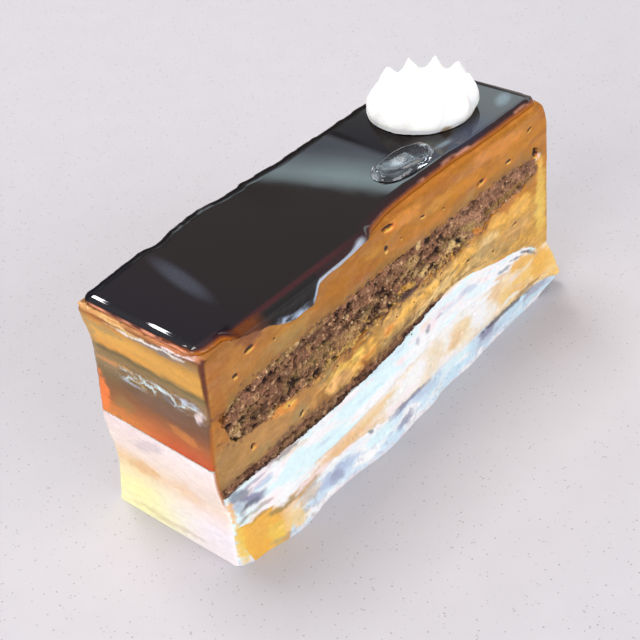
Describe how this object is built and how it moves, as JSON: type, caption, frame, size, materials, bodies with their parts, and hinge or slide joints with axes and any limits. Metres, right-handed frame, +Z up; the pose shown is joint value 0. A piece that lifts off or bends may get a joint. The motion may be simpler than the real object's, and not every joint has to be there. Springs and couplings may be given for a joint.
{
  "type": "opera cake slice",
  "caption": "Cut slice of layered cake: caramel mousse round a cocoa sponge, on cream with a caramel ripple, under dark glaze with a piped cream rosette and a gel drop.",
  "frame": {"origin": "middle of the slice's body on its flat underside, where it rests; the sagging foot and the caramel lip reach a little further on some sides", "axes": "+X along the slice towards the end with the rosette, -Y out of the long cut face with the glaze run, +Z up"},
  "size_m": [0.1071, 0.0358, 0.0578],
  "materials": {
    "caramel_mousse": "moist, satin",
    "cocoa_sponge": "crumbly, matt",
    "cream": "moist, satin",
    "caramel_ripple": "moist, soft gloss",
    "dark_glaze": "mirror gloss",
    "whipped_cream": "soft satin",
    "clear_gel": "wet gloss"
  },
  "bodies": {
    "root": {"cream_lower": "cream", "caramel_ripple": "caramel_ripple", "cream_upper": "cream", "base_sponge": "cocoa_sponge", "chocolate_sponge": "cocoa_sponge", "caramel_mousse": "caramel_mousse", "glaze": "dark_glaze", "whipped_cream": "whipped_cream", "gel_drop": "clear_gel"}
  },
  "joints": []
}
